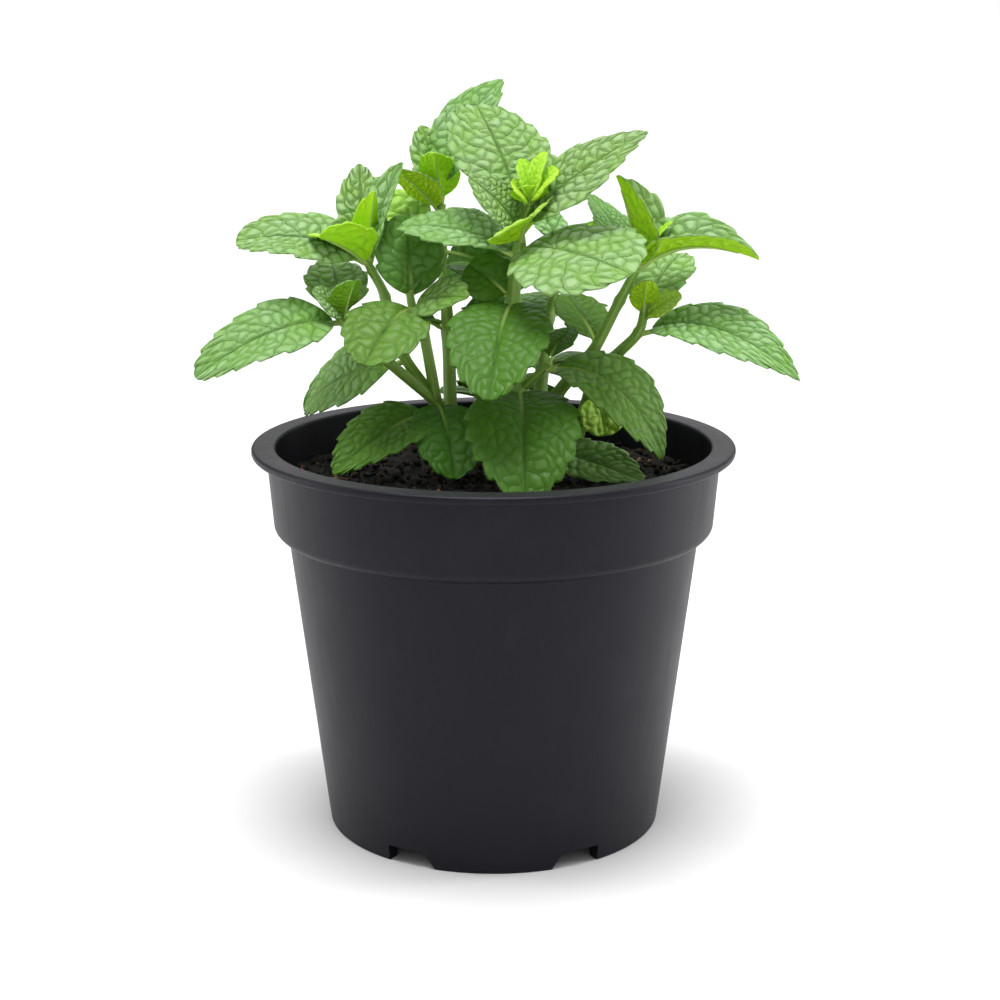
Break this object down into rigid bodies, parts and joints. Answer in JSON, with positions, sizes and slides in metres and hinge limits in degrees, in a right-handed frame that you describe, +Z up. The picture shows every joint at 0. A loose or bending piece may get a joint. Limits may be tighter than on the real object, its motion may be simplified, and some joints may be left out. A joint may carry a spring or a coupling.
{
  "type": "potted mint plant",
  "caption": "Bushy mint plant with serrated, quilted leaves on square stems, standing in soil in a round tapered nursery pot with a collar and a flat rim.",
  "frame": {"origin": "on the ground under the centre of the pot", "axes": "+Z up, +X to the right and +Y to the back as seen from the front of the pot"},
  "size_m": [0.1844, 0.15, 0.2307],
  "materials": {
    "pot": "dark charcoal moulded polypropylene with a soft satin sheen",
    "soil": "damp dark peat compost, crumbly and dull",
    "foliage": "fresh green leaf, quilted between its veins, soft and finely hairy"
  },
  "bodies": {
    "root": {"pot": "pot", "soil": "soil", "leafy_stem_centre": "foliage", "leafy_stem_left": "foliage", "leafy_stem_upper_right": "foliage", "leafy_stem_lower_right": "foliage", "leafy_stem_back_left": "foliage", "leafy_stem_back_right": "foliage", "leafy_stem_back_low": "foliage"}
  },
  "joints": []
}
